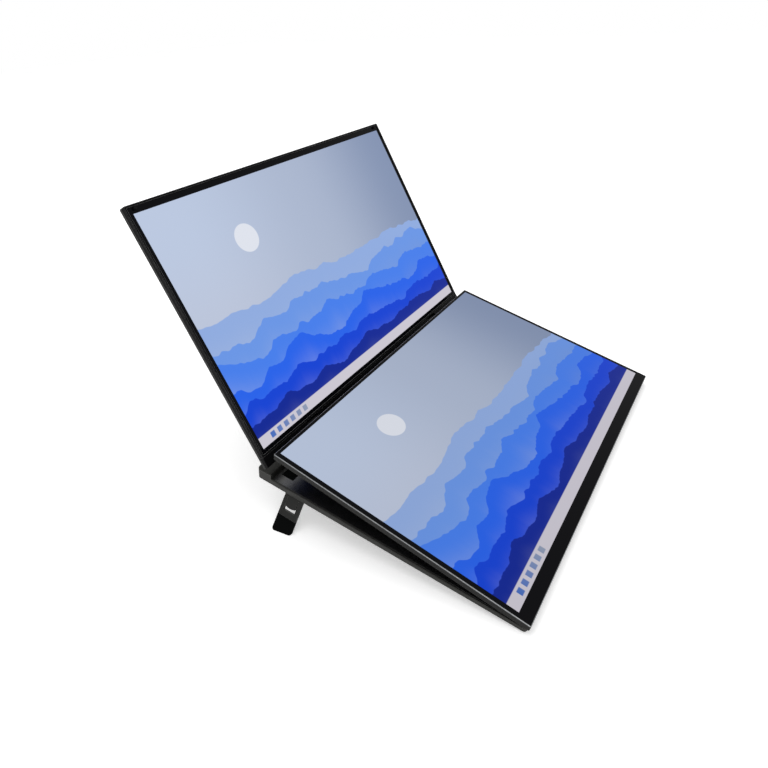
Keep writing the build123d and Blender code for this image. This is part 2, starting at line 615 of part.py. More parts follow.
# Keys, with the small board that carries their switches
for name, key_x in zip(("power_button", "menu_button"), KEY_PLACES):
    with BuildPart() as key:
        with BuildSketch(rear(BASE_D + KEY_PROUD)):
            with Locations((key_x, KEY_Z)):
                RectangleRounded(KEY_L, KEY_H, KEY_R)
        extrude(amount=KEY_PROUD + WALL_T + KEY_FLANGE_GAP)
        fillet(key.faces().sort_by(BASE_BACK)[-1].edges(), KEY_PROUD / 2)
        with BuildSketch(rear(KEY_BACK_Y + KEY_FLANGE_T)):
            with Locations((key_x, KEY_Z)):
                Rectangle(KEY_L + 2 * KEY_FLANGE, KEY_H + 2 * KEY_FLANGE)
        extrude(amount=KEY_FLANGE_T)
    save(key, name)

with BuildPart() as key_board:
    switch_back = SWITCH_FACE_Y - SWITCH_T
    board_xs = (KEY_X - KEY_L / 2 - KEY_BOARD_MARGIN, KEY_X + KEY_PITCH + KEY_L / 2 + KEY_BOARD_MARGIN)
    block(BASE, board_xs, (switch_back - BOARD_T, switch_back), (FLOOR_T, BAR_WALL_Z - FIT_GAP))
    with BuildSketch(rear(SWITCH_FACE_Y)):
        with Locations(*[(x, KEY_Z) for x in KEY_PLACES]):
            Rectangle(SWITCH_W, KEY_H)
    extrude(amount=SWITCH_T)
save(key_board, "key_board")

with BuildPart() as base_screws:
    posts(BASE, SCREW_PLACES, SCREW_HEAD_R, (0, SCREW_HEAD_H))
    posts(BASE, SCREW_PLACES, SCREW_R, (0, SCREW_TOP))
save(base_screws, "base_screws")


def panel_frame(plane, xs, ys, zs, rim, glass_back):
    """Opening of a screen's front frame: the glass drops in on a ledge round the panel."""
    glass_xs = (xs[0] + rim, xs[1] - rim)
    glass_ys = (ys[0] + rim, ys[1] - rim)
    block(plane, glass_xs, glass_ys, (glass_back, zs[1]), 0, Mode.SUBTRACT)
    ledge_xs = (glass_xs[0] + GLASS_LEDGE, glass_xs[1] - GLASS_LEDGE)
    ledge_ys = (glass_ys[0] + GLASS_LEDGE, glass_ys[1] - GLASS_LEDGE)
    block(plane, ledge_xs, ledge_ys, zs, 0, Mode.SUBTRACT)


def panel_stack(plane, name, active_y, glass_z, floor_z):
    """Display cell and backlight behind a screen's glass."""
    cell_back = glass_z - GLASS_T - CELL_T
    cell_xs = span(0, ACTIVE_W + 2 * CELL_MARGIN)
    cell_ys = (active_y - CELL_MARGIN, active_y + ACTIVE_H + CELL_MARGIN)
    with BuildPart() as lcd_cell:
        block(plane, cell_xs, cell_ys, (cell_back, glass_z - GLASS_T))
    save(lcd_cell, f"{name}_lcd_cell")
    with BuildPart() as backlight:
        block(plane, cell_xs, cell_ys, (floor_z, cell_back))
    save(backlight, f"{name}_backlight")


def driver_board(plane, name, width, ys, floor_z):
    """Narrow board with a row of driver chips, along the panel's connector edge."""
    with BuildPart() as board:
        block(plane, span(0, width), ys, (floor_z, floor_z + BOARD_T))
        chip_ys = span((ys[0] + ys[1]) / 2, (ys[1] - ys[0]) / 2)
        board_top = floor_z + BOARD_T
        for sign in SIDES:
            chip_xs = span(sign * width * CHIP_PLACE_SHARE, BOARD_CHIP)
            block(plane, chip_xs, chip_ys, (board_top, board_top + CHIP_H))
    save(board, f"{name}_driver_board")


# Lower screen
SCREEN_XS = span(0, SCREEN_W)
SCREEN_YS = (SCREEN_FRONT, SCREEN_REAR)
with BuildPart() as screen_back_cover:
    block(SCREEN, SCREEN_XS, SCREEN_YS, (0, SCREEN_SEAM), SCREEN_CORNER_R)
    fillet(screen_back_cover.faces().sort_by(Axis(SCREEN.origin, SCREEN.z_dir))[0].edges(), SCREEN_EDGE_R)
    tray_ys = (SCREEN_FRONT + SCREEN_WALL_T, SCREEN_REAR - SCREEN_WALL_T)
    block(
        SCREEN, span(0, SCREEN_W - 2 * SCREEN_WALL_T), tray_ys, (SCREEN_FLOOR_T, SCREEN_SEAM),
        SCREEN_CORNER_R - SCREEN_WALL_T, Mode.SUBTRACT,
    )
    rib_ys = (SCREEN_FRONT + SCREEN_WALL_T, SCREEN_ACTIVE_Y - CELL_MARGIN - FIT_GAP)
    pocket_r = FRONT_EYE_R + SWEEP_GAP
    for sign in SIDES:
        rib_xs = span(sign * FRONT_HINGE_X, FRONT_HINGE_W + 2 * HINGE_RIB_MARGIN)
        block(SCREEN, rib_xs, rib_ys, (0, HINGE_RIB_H))
        pocket_xs = span(sign * FRONT_HINGE_X, FRONT_HINGE_W + 2 * SIDE_GAP)
        block(SCREEN, pocket_xs, span(0, 2 * pocket_r), (-OVERRUN, pocket_r), 0, Mode.SUBTRACT)
save(screen_back_cover, "screen_back_cover")

with BuildPart() as screen_rim:
    rim_zs = (SCREEN_SEAM, SCREEN_T)
    block(SCREEN, SCREEN_XS, SCREEN_YS, rim_zs, SCREEN_CORNER_R)
    chamfer(screen_rim.faces().sort_by(Axis(SCREEN.origin, SCREEN.z_dir))[-1].edges(), SCREEN_RIM_CHAMFER)
    panel_frame(SCREEN, SCREEN_XS, SCREEN_YS, rim_zs, SCREEN_WALL_T, SCREEN_GLASS_Z - GLASS_T)
save(screen_rim, "screen_rim")

with BuildPart() as screen_glass:
    glass_inset = SCREEN_WALL_T + FIT_GAP
    glass_ys = (SCREEN_FRONT + glass_inset, SCREEN_REAR - glass_inset)
    glass_zs = (SCREEN_GLASS_Z - GLASS_T, SCREEN_GLASS_Z)
    block(SCREEN, span(0, SCREEN_W - 2 * glass_inset), glass_ys, glass_zs)
save(screen_glass, "screen_glass")

panel_stack(SCREEN, "screen", SCREEN_ACTIVE_Y, SCREEN_GLASS_Z, SCREEN_FLOOR_T)
SCREEN_BOARD_FRONT = SCREEN_FRONT + SCREEN_WALL_T + FIT_GAP
SCREEN_BOARD_YS = (SCREEN_BOARD_FRONT, SCREEN_BOARD_FRONT + SCREEN_BOARD_D)
SCREEN_BOARD_W = 2 * (FRONT_HINGE_X - FRONT_HINGE_W / 2 - HINGE_RIB_MARGIN - SCREEN_BOARD_GAP)
driver_board(SCREEN, "screen", SCREEN_BOARD_W, SCREEN_BOARD_YS, SCREEN_FLOOR_T)

with BuildPart() as screen_hinge_knuckles:
    for sign in SIDES:
        knuckle_xs = span(sign * FRONT_HINGE_X, FRONT_KNUCKLE_W)
        block(SCREEN, knuckle_xs, span(0, 2 * FRONT_EYE_R), (0, FRONT_EYE_R + SWEEP_GAP))
        rod(SCREEN, 0, 0, knuckle_xs, FRONT_EYE_R)
        rod(SCREEN, 0, 0, knuckle_xs, FRONT_PIN_R + PIN_GAP, Mode.SUBTRACT)
save(screen_hinge_knuckles, "screen_hinge_knuckles")

# Lid with the upper screen
LID_XS = span(0, LID_W)
LID_OUT = Axis(LID.origin, LID.z_dir)
LID_UP = Axis(LID.origin, LID.y_dir)
TOWER_CLEAR = TOWER_W / 2 + SIDE_GAP
LID_NOTCH_W = 2 * (TOWER_CLEAR + KNUCKLE_L + FIT_GAP)


def lid_slab(foot, zs):
    """The lid's outline from its foot up, rounded at its two upper corners, between two depths."""
    with BuildSketch(LID.offset(zs[0])) as outline:
        with Locations((0, (foot + LID_TOP) / 2)):
            Rectangle(LID_W, LID_TOP - foot)
        fillet(outline.vertices().sort_by(Axis.Y)[-2:], LID_CORNER_R)
    extrude(outline.sketch, amount=zs[1] - zs[0])


with BuildPart() as lid_back_cover:
    lid_slab(LID_FOOT, (LID_BACK, LID_SEAM))
    fillet(lid_back_cover.faces().sort_by(LID_OUT)[0].edges(), LID_BACK_R)
    floor_z = LID_BACK + LID_FLOOR_T
    block(
        LID, span(0, LID_W - 2 * LID_WALL_T), (LID_FOOT + LID_WALL_T, LID_TOP - LID_WALL_T),
        (floor_z, LID_SEAM), LID_CORNER_R - LID_WALL_T, Mode.SUBTRACT,
    )
    for sign in SIDES:
        rib_xs = span(sign * TOWER_X, LID_NOTCH_W + 2 * LID_WALL_T)
        block(LID, rib_xs, (LID_FOOT + LID_WALL_T, LID_FRAME_FOOT + LID_WALL_T), (floor_z, LID_SEAM))
        notch_xs = span(sign * TOWER_X, LID_NOTCH_W)
        block(LID, notch_xs, (LID_FOOT, LID_FRAME_FOOT), (LID_BACK, LID_SEAM), 0, Mode.SUBTRACT)
save(lid_back_cover, "lid_back_cover")

with BuildPart() as lid_front_frame:
    frame_zs = (LID_SEAM, LID_FACE)
    lid_slab(LID_FRAME_FOOT, frame_zs)
    front_edges = lid_front_frame.faces().sort_by(LID_OUT)[-1].edges().sort_by(LID_UP)
    chamfer(front_edges[1:], LID_RIM_CHAMFER)
    panel_frame(LID, LID_XS, (LID_FRAME_FOOT, LID_TOP), frame_zs, LID_RIM_W, LID_GLASS_Z - GLASS_T)
save(lid_front_frame, "lid_front_frame")

with BuildPart() as lid_glass:
    glass_inset = LID_RIM_W + FIT_GAP
    glass_ys = (LID_FRAME_FOOT + glass_inset, LID_TOP - glass_inset)
    block(LID, span(0, LID_W - 2 * glass_inset), glass_ys, (LID_GLASS_Z - GLASS_T, LID_GLASS_Z))
save(lid_glass, "lid_glass")

panel_stack(LID, "lid", LID_CHIN, LID_GLASS_Z, LID_BACK + LID_FLOOR_T)
LID_BOARD_FOOT = LID_FRAME_FOOT + LID_WALL_T + FIT_GAP
LID_BOARD_YS = (LID_BOARD_FOOT, LID_BOARD_FOOT + LID_BOARD_D)
driver_board(LID, "lid", LID_BOARD_W, LID_BOARD_YS, LID_BACK + LID_FLOOR_T)

with BuildPart() as lid_bumpers:
    bumper_y = LID_TOP - LID_RIM_W - FIT_GAP - BUMPER_R
    bumper_places = [(sign * (LID_W / 2 - BUMPER_INSET), bumper_y) for sign in SIDES]
    posts(LID, bumper_places, BUMPER_R, (LID_GLASS_Z, LID_FACE + LID_CLOSED_GAP - BUMPER_SLACK))
save(lid_bumpers, "lid_bumpers")

# Foot of the lid in three lengths between and beside the towers, with the knuckles that turn on the pins
KNUCKLE_X = TOWER_CLEAR + KNUCKLE_L / 2
FOOT_STRIPS = {
    "lid_barrel_left": ((-LID_W / 2, -TOWER_X - TOWER_CLEAR), (-TOWER_X - KNUCKLE_X,)),
    "lid_barrel_middle": (span(0, 2 * (TOWER_X - TOWER_CLEAR)), (KNUCKLE_X - TOWER_X, TOWER_X - KNUCKLE_X)),
    "lid_barrel_right": ((TOWER_X + TOWER_CLEAR, LID_W / 2), (TOWER_X + KNUCKLE_X,)),
}
for name, (strip_xs, knuckles) in FOOT_STRIPS.items():
    with BuildPart() as lid_barrel:
        block(LID, strip_xs, (LID_FOOT, LID_FRAME_FOOT), (LID_SEAM, LID_FACE))
        fillet(lid_barrel.edges().filter_by(Axis.X).sort_by(LID_OUT)[-2:].sort_by(LID_UP)[0], LID_FOOT_R)
        for knuckle_x in knuckles:
            knuckle_xs = span(knuckle_x, KNUCKLE_L)
            rod(LID, 0, 0, knuckle_xs, KNUCKLE_R)
            block(LID, knuckle_xs, (0, LID_FRAME_FOOT - FIT_GAP), (LID_BACK, LID_FACE))
        for sign in SIDES:
            bore_xs = span(sign * TOWER_X, TOWER_W + 2 * (LID_PIN_REACH + PIN_END_GAP))
            rod(LID, 0, 0, bore_xs, LID_PIN_R + PIN_GAP, Mode.SUBTRACT)
    save(lid_barrel, name)

# Lift arm and the shoe at its tip; the arm runs forward from its pivot
with BuildPart() as lift_arm_left:
    arm_xs = span(0, ARM_W)
    rod(ARM, 0, 0, arm_xs, ARM_EYE_R)
    block(ARM, arm_xs, (-ARM_LENGTH, 0), span(0, ARM_T))
    rod(ARM, -ARM_LENGTH, 0, arm_xs, ARM_T / 2)
    window_l = ARM_LENGTH * ARM_WINDOW_SHARE
    window_w = ARM_W * ARM_WINDOW_SHARE
    window_r = window_w * WINDOW_CORNER_SHARE
    through = (-ARM_T, ARM_T)
    fork_ys = (-ARM_LENGTH - ARM_T, -ARM_LENGTH + SHOE_R + FIT_GAP)
    block(ARM, span(0, window_w), span(-ARM_LENGTH / 2, window_l), through, window_r, Mode.SUBTRACT)
    rod(ARM, 0, 0, arm_xs, ARM_PIN_R + PIN_GAP, Mode.SUBTRACT)
    block(ARM, span(0, window_w), fork_ys, through, 0, Mode.SUBTRACT)
    rod(ARM, -ARM_LENGTH, 0, arm_xs, SHOE_PIN_R, Mode.SUBTRACT)
save(lift_arm_left, "lift_arm_left")
save_twin(lift_arm_left, "lift_arm_right")

with BuildPart() as lift_shoe_left:
    rod(ARM, -ARM_LENGTH, 0, span(0, window_w - 2 * FIT_GAP), SHOE_R)
    rod(ARM, -ARM_LENGTH, 0, arm_xs, SHOE_PIN_R)
save(lift_shoe_left, "lift_shoe_left")
save_twin(lift_shoe_left, "lift_shoe_right")

# Folding foot: a flat leg with a sprung tongue, and a rubber tip cut level with the table
FOOT_DOWN = Axis(FOOT.origin, FOOT.x_dir)
FOOT_FACE = Axis(FOOT.origin, FOOT.z_dir)
with BuildPart() as foot_left_leg:
    with BuildSketch(FOOT.offset(-FOOT_T / 2)):
        with Locations((TIP_START / 2, 0)):
            Rectangle(TIP_START, FOOT_W)
    extrude(amount=FOOT_T)
    fillet(foot_left_leg.faces().filter_by(FOOT_FACE).edges().sort_by(FOOT_DOWN)[2:-2], LEG_EDGE_R)
    knuckle = Plane(FOOT.from_local_coords((0, -FOOT_W / 2, 0)), x_dir=FOOT.x_dir, z_dir=FOOT.y_dir)
    with BuildSketch(knuckle):
        Circle(FOOT_T / 2)
    extrude(amount=FOOT_W)
    tongue_y = TONGUE_W / 2
    slit_y = tongue_y + TONGUE_SLIT
    slot_end = FOOT_SLOT_START + FOOT_SLOT_L
    bow_start = FOOT_SLOT_START - TONGUE_BOW
    with BuildSketch(FOOT.offset(-FOOT_T)):
        with BuildLine():
            outer = Polyline(
                (TONGUE_START, -slit_y), (slot_end, -slit_y), (slot_end, slit_y), (TONGUE_START, slit_y),
                (TONGUE_START, tongue_y), (bow_start, tongue_y),
            )
            bow = ThreePointArc(outer @ 1, (FOOT_SLOT_START, 0), (bow_start, -tongue_y))
            Polyline(bow @ 1, (TONGUE_START, -tongue_y), outer @ 0)
        make_face()
    extrude(amount=2 * FOOT_T, mode=Mode.SUBTRACT)
    block(FOOT, (TIP_START, TIP_START + TIP_TENON), span(0, TIP_TENON_W), span(0, TIP_TENON_T))
    with BuildSketch(knuckle):
        Circle(FOOT_PIN_R + PIN_GAP)
    extrude(amount=FOOT_W, mode=Mode.SUBTRACT)
save(foot_left_leg, "foot_left_leg")
save_twin(foot_left_leg, "foot_right_leg")

with BuildPart() as foot_left_tip:
    with BuildSketch(FOOT.offset(-FOOT_T / 2)) as tip_outline:
        with BuildLine():
            Polyline(
                (TIP_START, -FOOT_W / 2), (FOOT_ENDS[0], -FOOT_W / 2),
                (FOOT_ENDS[1], FOOT_W / 2), (TIP_START, FOOT_W / 2), close=True,
            )
        make_face()
        fillet(tip_outline.vertices().sort_by(Axis.X)[-2:], TIP_CORNER_R)
    extrude(amount=FOOT_T)
    fillet(foot_left_tip.faces().filter_by(FOOT_FACE).edges().sort_by(FOOT_DOWN)[2:], LEG_EDGE_R)
    tenon_xs = (TIP_START, TIP_START + TIP_TENON + FIT_GAP)
    block(FOOT, tenon_xs, span(0, TIP_TENON_W), span(0, TIP_TENON_T), 0, Mode.SUBTRACT)
    split(bisect_by=Plane.XY, keep=Keep.TOP)
save(foot_left_tip, "foot_left_tip")
save_twin(foot_left_tip, "foot_right_tip")
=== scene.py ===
# Dual-screen portable monitor: materials, display pictures, floor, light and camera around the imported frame.
# Metres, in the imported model's own axes: +Z up from the table, X across, front at -Y.
import math

import bpy
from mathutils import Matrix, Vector


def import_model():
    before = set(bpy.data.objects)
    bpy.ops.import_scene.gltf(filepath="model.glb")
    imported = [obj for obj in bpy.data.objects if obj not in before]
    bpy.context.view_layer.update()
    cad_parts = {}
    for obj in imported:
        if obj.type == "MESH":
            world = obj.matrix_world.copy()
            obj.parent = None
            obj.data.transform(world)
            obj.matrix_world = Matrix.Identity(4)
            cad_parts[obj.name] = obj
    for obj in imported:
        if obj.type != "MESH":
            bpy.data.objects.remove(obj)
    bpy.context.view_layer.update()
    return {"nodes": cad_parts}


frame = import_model()
nodes = frame["nodes"]

# Camera of the photograph
CAMERA_PLACE = (-0.4507, -0.25255, 0.3936)
CAMERA_TURN = (62.814, 3.092, -57.561)
CAMERA_LENS = 28.753
CAMERA_SENSOR = 36.0
CAMERA_SHIFT = (-0.0009, -0.0888)
CAMERA_NEAR = 0.01

# Displays: margin of the cell round its lit area, shape of that area, and softness of edges in the picture
CELL_MARGIN = 0.0005
ASPECT = 1.6
EDGE_SOFT = 0.003
UPPER_GLOW = 0.97
LOWER_GLOW = 0.86

# Stage, and its lamps: name, place, aim, size and watts
FLOOR_SIZE = 12.0
FLOOR_GLOW = 0.34
SKY_LIGHT = 0.7
LAMPS = (
    ("overhead", (0.0, 0.1, 1.8), (0.0, 0.0, 0.1), (1.6, 1.2), 9.0),
    ("left fill", (-1.4, -1.0, 1.0), (0.0, 0.0, 0.1), (1.0, 1.0), 5.0),
    ("rear", (0.9, 1.6, 1.2), (0.0, 0.1, 0.1), (1.2, 0.8), 6.0),
)

# Marks on surfaces, in marks per metre: broad clouds, fine grain, brushed lines, tracks and smears
METAL_CLOUD = 14.0
METAL_GRAIN = 5200.0
MOULD_CLOUD = 22.0
MOULD_GRAIN = 3000.0
DECK_GRAIN = 2600.0
STEEL_CLOUD = 30.0
BRUSH_LINES = 900.0
TRACKS = 260.0
SMEARS = 36.0
FLOOR_CLOUD = 3.0

# Depth of the relief of those marks, and radius of softened edges; on anodised metal that radius also sets the
# width of the painted edge highlight
FINE_RELIEF = 0.00003
TRACK_RELIEF = 0.00004
MOULD_RELIEF = 0.00005
METAL_EDGE = 0.0004
FRAME_EDGE = 0.0006
MOULD_EDGE = 0.0003
STEEL_EDGE = 0.0002

# Range in which nearly all values of a noise lie
NOISE_LOW = 0.3
NOISE_HIGH = 0.7


def srgb(red, green, blue):
    """Linear colour of a colour given as 0 to 255 on a screen."""
    shares = (red / 255, green / 255, blue / 255)
    return tuple(s / 12.92 if s <= 0.04045 else ((s + 0.055) / 1.055) ** 2.4 for s in shares) + (1.0,)


class Graph:
    """Short forms for building the nodes of one material or of the world."""

    def __init__(self, owner):
        owner.use_nodes = True
        self.owner = owner
        self.tree = owner.node_tree
        self.shader = self.tree.nodes.get("Principled BSDF")

    def add(self, kind, **settings):
        node = self.tree.nodes.new(kind)
        for name, value in settings.items():
            setattr(node, name, value)
        return node

    def feed(self, socket, value):
        if isinstance(value, bpy.types.NodeSocket):
            self.tree.links.new(value, socket)
        else:
            socket.default_value = value

    def set(self, **values):
        """Set the shader's sockets, each named with underscores for spaces."""
        for name, value in values.items():
            self.feed(self.shader.inputs[name.replace("_", " ")], value)

    def math(self, operation, *values):
        node = self.add("ShaderNodeMath", operation=operation)
        for socket, value in zip(node.inputs, values):
            self.feed(socket, value)
        return node.outputs[0]

    def dot(self, first, second):
        node = self.add("ShaderNodeVectorMath", operation="DOT_PRODUCT")
        self.feed(node.inputs[0], first)
        self.feed(node.inputs[1], second)
        return node.outputs["Value"]

    def ramp(self, value, low, high, start=0.0, end=1.0, smooth=False):
        """Map a value from low..high to start..end, held at both ends."""
        node = self.add("ShaderNodeMapRange", interpolation_type="SMOOTHSTEP" if smooth else "LINEAR")
        for socket, given in zip(node.inputs, (value, low, high, start, end)):
            self.feed(socket, given)
        return node.outputs[0]

    def mix(self, factor, first, second):
        node = self.add("ShaderNodeMix", data_type="RGBA")
        for index, value in ((0, factor), (6, first), (7, second)):
            self.feed(node.inputs[index], value)
        return node.outputs[2]

    def place(self):
        return self.add("ShaderNodeTexCoord").outputs["Object"]

    def noise(self, place, scale, detail=2.0, roughness=0.5):
        node = self.add("ShaderNodeTexNoise")
        self.feed(node.inputs["Vector"], place)
        node.inputs["Scale"].default_value = scale
        node.inputs["Detail"].default_value = detail
        node.inputs["Roughness"].default_value = roughness
        return node.outputs["Fac"]

    def wave(self, along, rate, start, detail):
        """Smooth uneven line between 0 and 1 along one measure."""
        node = self.add("ShaderNodeTexNoise", noise_dimensions="1D")
        self.feed(node.inputs["W"], self.math("MULTIPLY_ADD", along, rate, start))
        node.inputs["Scale"].default_value = 1.0
        node.inputs["Detail"].default_value = detail
        return node.outputs["Fac"]

    def stretch(self, place, scale):
        """The place with each axis scaled, for grain that runs along one way."""
        node = self.add("ShaderNodeVectorMath", operation="MULTIPLY")
        self.feed(node.inputs[0], place)
        node.inputs[1].default_value = scale
        return node.outputs[0]

    def round_edge(self, radius):
        """Normal of the surface with its edges softened by a small radius."""
        node = self.add("ShaderNodeBevel", samples=6)
        node.inputs["Radius"].default_value = radius
        return node.outputs[0]

    def edge(self, normal, low=0.8, high=0.985):
        """1 along the edges that a softened normal rounds over, 0 on flat faces."""
        flat = self.add("ShaderNodeNewGeometry").outputs["Normal"]
        return self.ramp(self.dot(normal, flat), low, high, 1.0, 0.0)

    def bump(self, height, strength, depth, normal=None):
        """Surface relief, over a softened normal where one is given."""
        node = self.add("ShaderNodeBump")
        node.inputs["Strength"].default_value = strength
        node.inputs["Distance"].default_value = depth
        self.feed(node.inputs["Height"], height)
        if normal:
            self.feed(node.inputs["Normal"], normal)
        return node.outputs[0]


def material(name):
    return Graph(bpy.data.materials.new(name))


def dress(g, *names):
    """Give CAD nodes a material."""
    for name in names:
        mesh = nodes[name].data
        mesh.materials.clear()
        mesh.materials.append(g.owner)


def anodised(name, dark, light, painted_edge_highlight, roughness, metallic=0.6, gloss=0.15, round_over=METAL_EDGE):
    """Fine blasted, anodised metal: slightly cloudy, with a painted highlight that lightens its edges."""
    g = material(name)
    place = g.place()
    cloud = g.noise(place, METAL_CLOUD, 4.0)
    fine = g.noise(place, METAL_GRAIN, 2.0, 0.6)
    soft = g.round_edge(round_over)
    blend = g.math("MULTIPLY_ADD", fine, 0.3, g.math("MULTIPLY", cloud, 0.7))
    tone = g.mix(g.ramp(blend, NOISE_LOW, NOISE_HIGH), dark, light)
    # Painted highlight: edges are mixed towards a lighter colour, more where the cloud is high, standing in
    # for light that the edges catch.
    edge_highlight_mask = g.math("MULTIPLY", g.edge(soft), g.ramp(cloud, 0.2, 0.6, 0.5, 1.0))
    g.set(
        Base_Color=g.mix(edge_highlight_mask, tone, painted_edge_highlight),
        Metallic=metallic, Specular_IOR_Level=gloss,
        Roughness=g.ramp(cloud, 0.25, 0.75, roughness - 0.05, roughness + 0.06),
        Normal=g.bump(fine, 0.1, FINE_RELIEF, soft),
    )
    return g


def moulded(name, dark, light, roughness, grain=MOULD_GRAIN, relief=0.25, gloss=0.3):
    """Moulded plastic or rubber with a fine eroded grain."""
    g = material(name)
    place = g.place()
    cloud = g.noise(place, MOULD_CLOUD, 3.0)
    fine = g.noise(place, grain, 3.0, 0.65)
    g.set(
        Base_Color=g.mix(g.ramp(cloud, NOISE_LOW, NOISE_HIGH), dark, light), Specular_IOR_Level=gloss,
        Roughness=g.ramp(fine, NOISE_LOW, NOISE_HIGH, roughness - 0.07, roughness + 0.07),
        Normal=g.bump(fine, relief, MOULD_RELIEF, g.round_edge(MOULD_EDGE)),
    )
    return g


def brushed(name, dark, light, roughness, along):
    """Metal with fine lines along one way."""
    g = material(name)
    place = g.place()
    lines = g.noise(g.stretch(place, along), BRUSH_LINES, 3.0, 0.7)
    cloud = g.noise(place, STEEL_CLOUD, 2.0)
    g.set(
        Base_Color=g.mix(g.ramp(lines, NOISE_LOW, NOISE_HIGH), dark, light), Metallic=1.0,
        Roughness=g.ramp(cloud, NOISE_LOW, NOISE_HIGH, roughness - 0.04, roughness + 0.06),
        Normal=g.bump(lines, 0.1, FINE_RELIEF, g.round_edge(STEEL_EDGE)),
    )
    return g


def board(name):
    """Lacquered circuit board with faint tracks under the lacquer."""
    g = material(name)
    place = g.place()
    tracks = g.add("ShaderNodeTexVoronoi", feature="DISTANCE_TO_EDGE", distance="MANHATTAN")
    g.feed(tracks.inputs["Vector"], place)
    tracks.inputs["Scale"].default_value = TRACKS
    line = g.ramp(tracks.outputs["Distance"], 0.02, 0.06)
    g.set(
        Base_Color=g.mix(line, srgb(62, 120, 72), srgb(18, 66, 38)), Roughness=0.35,
        Normal=g.bump(line, 0.2, TRACK_RELIEF),
    )
    return g


def panel(name):
    """Corner, turn about X, width and height of a display's lit area, read from its cell."""
    mesh = nodes[name].data
    face = max((p for p in mesh.polygons if p.normal.z > 0), key=lambda p: p.area)
    turn = math.atan2(-face.normal.y, face.normal.z)
    upward = Vector((0, math.cos(turn), math.sin(turn)))
    front = mesh.vertices[face.vertices[0]].co.dot(face.normal)
    acrosses = [v.co.x for v in mesh.vertices]
    ups = [v.co.dot(upward) for v in mesh.vertices]
    left, low = min(acrosses) + CELL_MARGIN, min(ups) + CELL_MARGIN
    corner = Vector((left, 0, 0)) + upward * low + face.normal * front
    return corner, turn, max(acrosses) - CELL_MARGIN - left, max(ups) - CELL_MARGIN - low


# Ridges of the display picture from the farthest, in heights of the picture: height of the crest, size, rate
# and start of its uneven line, then its colour. The sun stands above them.
RIDGES = (
    (0.50, 0.22, 2.0, 0.4, srgb(146, 174, 226)),
    (0.42, 0.24, 2.5, 3.1, srgb(108, 152, 232)),
    (0.33, 0.22, 2.9, 7.7, srgb(72, 128, 238)),
    (0.25, 0.18, 3.4, 12.2, srgb(40, 100, 236)),
    (0.17, 0.14, 4.0, 17.9, srgb(18, 68, 214)),
    (0.10, 0.10, 4.8, 23.5, srgb(14, 40, 150)),
)
CREST_DETAIL = 4.0
MIST_START = 0.02
MIST_DEPTH = 0.3
MIST_SHARE = 0.5
SKY_LOW = srgb(190, 197, 216)
SKY_HIGH = srgb(190, 203, 227)
SKY_MIDDLE = srgb(173, 185, 209)
SKY_RIGHT = srgb(134, 149, 180)
SUN = (0.42, 0.76)
SUN_RADIUS = 0.06
SUN_COLOUR = srgb(226, 230, 240)

# Bar along the foot of the picture and the tiles on it
BAR_TOP = 0.047
BAR_COLOUR = srgb(206, 202, 213)
TILE_SIDE = 0.024
TILE_PITCH = 0.04
TILE_START = 0.06
TILE_COUNT = 6
TILE_FIRST = srgb(70, 110, 190)
TILE_LAST = srgb(150, 160, 180)


def inside(g, value, low, high, soft=EDGE_SOFT):
    """1 between two limits, 0 outside them, over a soft edge."""
    rise = g.ramp(value, low - soft / 2, low + soft / 2)
    fall = g.ramp(value, high - soft / 2, high + soft / 2, 1.0, 0.0)
    return g.math("MULTIPLY", rise, fall)


def picture(g, across, up):
    """Colour of the display picture: misty blue ridges under a pale sun, with a plain bar along the foot."""
    sky = g.mix(g.ramp(up, 0.2, 0.9, smooth=True), SKY_LOW, SKY_HIGH)
    sky = g.mix(g.ramp(across, 0.1, 0.9, smooth=True), sky, SKY_MIDDLE)
    sky = g.mix(g.ramp(across, 0.8, 1.6, smooth=True), sky, SKY_RIGHT)
    away = [g.math("SUBTRACT", value, centre) for value, centre in zip((across, up), SUN)]
    reach = g.math("SQRT", g.math("MULTIPLY_ADD", away[0], away[0], g.math("MULTIPLY", away[1], away[1])))
    colour = g.mix(g.ramp(reach, SUN_RADIUS, SUN_RADIUS + EDGE_SOFT, 1.0, 0.0), sky, SUN_COLOUR)
    for height, size, rate, start, tint in RIDGES:
        crest = g.math("MULTIPLY_ADD", g.wave(across, rate, start, CREST_DETAIL), size, height - size / 2)
        depth = g.math("SUBTRACT", crest, up)
        ridge = g.mix(g.ramp(depth, MIST_START, MIST_DEPTH, 0.0, MIST_SHARE, smooth=True), tint, sky)
        colour = g.mix(g.ramp(depth, 0.0, EDGE_SOFT), colour, ridge)
    colour = g.mix(g.ramp(up, BAR_TOP - EDGE_SOFT, BAR_TOP, 1.0, 0.0), colour, BAR_COLOUR)
    step = g.math("MULTIPLY_ADD", across, 1 / TILE_PITCH, -TILE_START / TILE_PITCH)
    tile = inside(g, g.math("FRACT", step), 0.0, TILE_SIDE / TILE_PITCH, EDGE_SOFT / TILE_PITCH)
    tile = g.math("MULTIPLY", tile, inside(g, step, 0.0, TILE_COUNT))
    low = (BAR_TOP - TILE_SIDE) / 2
    tile = g.math("MULTIPLY", tile, inside(g, up, low, low + TILE_SIDE))
    return g.mix(tile, colour, g.mix(g.ramp(step, 0.0, TILE_COUNT), TILE_FIRST, TILE_LAST))


